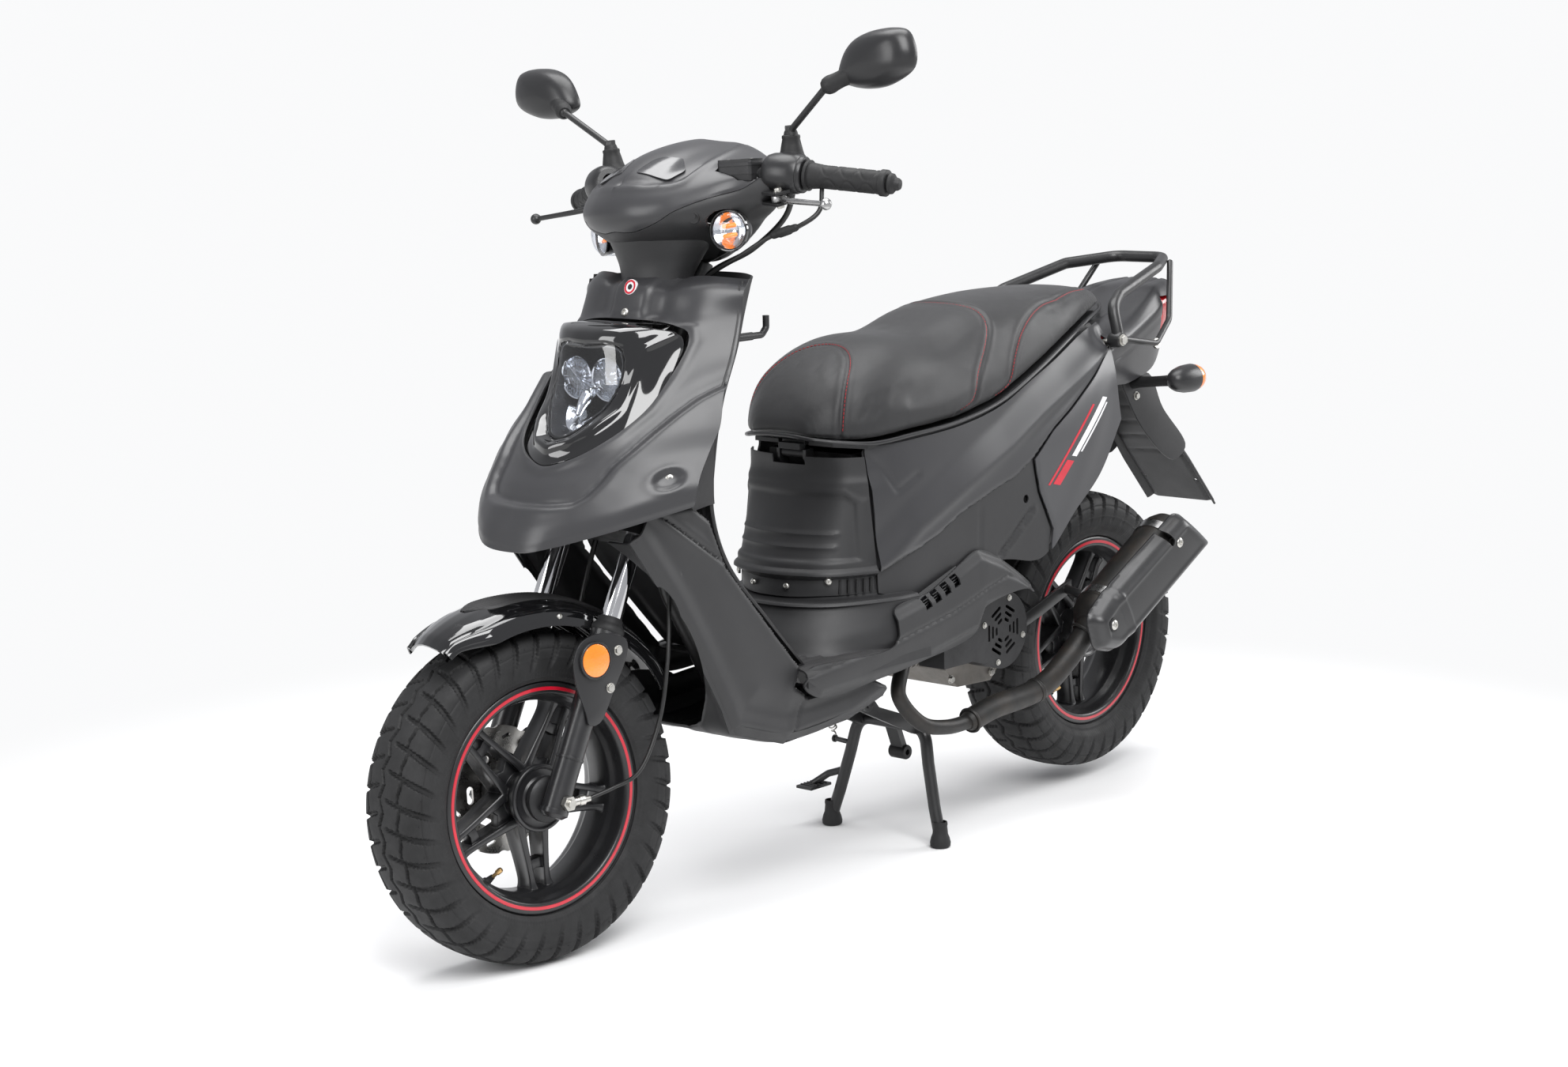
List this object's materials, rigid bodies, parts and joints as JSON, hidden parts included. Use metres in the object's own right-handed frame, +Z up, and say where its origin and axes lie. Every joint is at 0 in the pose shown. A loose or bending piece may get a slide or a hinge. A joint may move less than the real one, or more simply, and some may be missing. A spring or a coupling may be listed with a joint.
{
  "type": "moped scooter",
  "caption": "Step-through moped scooter with belt-drive engine, twin headlamps, dual seat, grab rail and centre stand; it steers, folds its stand and works its suspension.",
  "frame": {"origin": "on the ground plane, on the centre plane, midway between the wheel axles", "axes": "+X forward, +Y to the rider's left (the exhaust side), +Z up"},
  "size_m": [1.9164, 0.8917, 1.3028],
  "materials": {
    "frame_black": "satin black paint",
    "body_matte": "satin anthracite moulding",
    "body_gloss": "gloss black moulding",
    "plastic_dark": "grained black moulding",
    "chrome": "hard chrome",
    "rim_black": "satin black paint with a red pinstripe",
    "tyre": "block tread",
    "steel": "brushed",
    "aluminium": "die cast",
    "vinyl": "fine grained vinyl with red stitching",
    "rubber": "moulded",
    "lens_clear": "clear",
    "lens_red": "red lens",
    "amber": "amber reflector",
    "exhaust_black": "heat-proof satin black",
    "zinc": "zinc plated"
  },
  "bodies": {
    "chassis": {"main_frame": "frame_black", "steering_bearings": "steel", "front_shield": "body_matte", "headlight_unit": "body_gloss", "headlight_lens": "lens_clear", "leg_shield": "plastic_dark", "floor_panel": "plastic_dark", "lower_fairing": "plastic_dark", "underseat_cover": "body_matte", "side_panels": "body_matte", "tail_cover": "body_matte", "tail_light": "lens_red", "rear_mudguard": "plastic_dark", "rear_indicators": "plastic_dark", "grab_rail": "frame_black", "fuel_tank": "frame_black", "storage_bucket": "plastic_dark"},
    "key_barrel": {"ignition_switch": "steel"},
    "hook": {"bag_hook": "plastic_dark"},
    "seat": {"seat_cushion": "vinyl", "seat_base": "plastic_dark"},
    "bars": {"steering_stem": "frame_black", "fork_stanchions": "chrome", "handlebar": "frame_black", "bar_cover_front": "body_matte", "bar_cover_rear": "body_matte", "instrument_panel": "body_gloss", "front_indicators": "lens_clear", "lever_perches": "frame_black", "fixed_grip": "rubber", "mirror_stems": "rubber"},
    "throttle": {"throttle_grip": "rubber"},
    "left_lever": {"brake_lever_left": "frame_black"},
    "right_lever": {"brake_lever_right": "frame_black"},
    "left_mirror": {"mirror_head_left": "plastic_dark"},
    "right_mirror": {"mirror_head_right": "plastic_dark"},
    "starter": {"starter_button": "plastic_dark"},
    "fork_lower": {"fork_lowers": "frame_black", "front_fender": "body_gloss", "brake_caliper": "aluminium", "side_reflectors": "amber", "front_axle": "zinc"},
    "front_wheel": {"front_rim": "rim_black", "front_tyre": "tyre", "brake_disc": "steel"},
    "engine": {"engine_case": "aluminium", "fan_shroud": "plastic_dark", "cvt_cover": "plastic_dark", "air_box": "plastic_dark", "exhaust": "exhaust_black", "muffler_shield": "exhaust_black"},
    "crank": {"cooling_fan": "aluminium"},
    "rear_wheel": {"rear_rim": "rim_black", "rear_tyre": "tyre"},
    "kick": {"kick_starter": "steel"},
    "brake_arm": {"rear_brake_arm": "zinc"},
    "shock_upper": {"shock_body": "frame_black", "shock_spring": "steel"},
    "shock_lower": {"shock_rod": "chrome"},
    "stand": {"center_stand": "frame_black"}
  },
  "joints": [
    {"name": "steering", "type": "hinge", "parent": "chassis", "child": "bars", "pos_m": [0.6235, 0, 0.2227], "axis": [-0.4384, 0, 0.8988], "range_deg": [-32.5, 47.5]},
    {"name": "fork_slide", "type": "slide", "parent": "bars", "child": "fork_lower", "axis": [-0.4384, 0, 0.8988], "range_m": [0, 0.07]},
    {"name": "front_wheel_spin", "type": "hinge", "parent": "fork_lower", "child": "front_wheel", "pos_m": [0.65473, -0.00457, 0.23787], "axis": [0.1173, 0.9914, 0.0572], "continuous": true},
    {"name": "throttle_twist", "type": "hinge", "parent": "bars", "child": "throttle", "pos_m": [0.27982, 0.23219, 1.09857], "axis": [0.286, -0.9535, 0.0949], "range_deg": [0, 75]},
    {"name": "brake_lever_left", "type": "hinge", "parent": "bars", "child": "left_lever", "pos_m": [0.31273, 0.20484, 1.06806], "axis": [0.2096, -0.0198, 0.9776], "range_deg": [0, 20]},
    {"name": "brake_lever_right", "type": "hinge", "parent": "bars", "child": "right_lever", "pos_m": [0.26229, -0.22148, 1.04346], "axis": [-0.1953, 0.1405, -0.9706], "range_deg": [0, 20]},
    {"name": "mirror_left_turn", "type": "hinge", "parent": "bars", "child": "left_mirror", "pos_m": [0.2986, 0.28533, 1.22287], "axis": [-0.0034, -0.0572, 0.9984], "range_deg": [-15, 15]},
    {"name": "mirror_right_turn", "type": "hinge", "parent": "bars", "child": "right_mirror", "pos_m": [0.22774, -0.3135, 1.18832], "axis": [-0.0034, -0.0572, 0.9984], "range_deg": [-15, 15]},
    {"name": "starter_press", "type": "slide", "parent": "bars", "child": "starter", "axis": [0.9931, -0.1173, -0.0034], "range_m": [0, 0.002]},
    {"name": "ignition_turn", "type": "hinge", "parent": "chassis", "child": "key_barrel", "pos_m": [0.3, -0.078, 0.878], "axis": [1, 0, 0], "range_deg": [0, 90]},
    {"name": "bag_hook_fold", "type": "hinge", "parent": "chassis", "child": "hook", "pos_m": [0.258, 0.096, 0.862], "axis": [1, 0, 0], "range_deg": [0, 90]},
    {"name": "seat_hinge", "type": "hinge", "parent": "chassis", "child": "seat", "pos_m": [0.058, 0, 0.66], "axis": [0, 1, 0], "range_deg": [0, 70]},
    {"name": "engine_swing", "type": "hinge", "parent": "chassis", "child": "engine", "pos_m": [-0.25, 0, 0.405], "axis": [0, 1, 0], "range_deg": [0, 10]},
    {"name": "crank_spin", "type": "hinge", "parent": "engine", "child": "crank", "pos_m": [-0.317, 0, 0.329], "axis": [0, 1, 0], "continuous": true},
    {"name": "rear_wheel_spin", "type": "hinge", "parent": "engine", "child": "rear_wheel", "pos_m": [-0.655, 0, 0.265], "axis": [0, 1, 0], "continuous": true},
    {"name": "kick_start", "type": "hinge", "parent": "engine", "child": "kick", "pos_m": [-0.33, -0.15, 0.262], "axis": [0, -1, 0], "range_deg": [0, 50]},
    {"name": "brake_arm_turn", "type": "hinge", "parent": "engine", "child": "brake_arm", "pos_m": [-0.6, -0.066, 0.24], "axis": [0, -1, 0], "range_deg": [0, 12]},
    {"name": "shock_swing", "type": "hinge", "parent": "chassis", "child": "shock_upper", "pos_m": [-0.59, -0.1, 0.655], "axis": [0, 1, 0], "range_deg": [0, 6]},
    {"name": "shock_slide", "type": "slide", "parent": "shock_upper", "child": "shock_lower", "axis": [0.2557, 0, 0.9668], "range_m": [0, 0.075], "deforming": ["shock_spring"]},
    {"name": "stand_fold", "type": "hinge", "parent": "chassis", "child": "stand", "pos_m": [-0.025, 0, 0.252], "axis": [0, 1, 0], "range_deg": [0, 26]}
  ],
  "couplings": [
    {"joint": "shock_swing", "follows": "engine_swing", "ratio": 0.52094},
    {"joint": "shock_slide", "follows": "engine_swing", "m_per_rad": 0.39768},
    {"joint": "brake_arm_turn", "follows": "brake_lever_right", "ratio": 0.5}
  ]
}
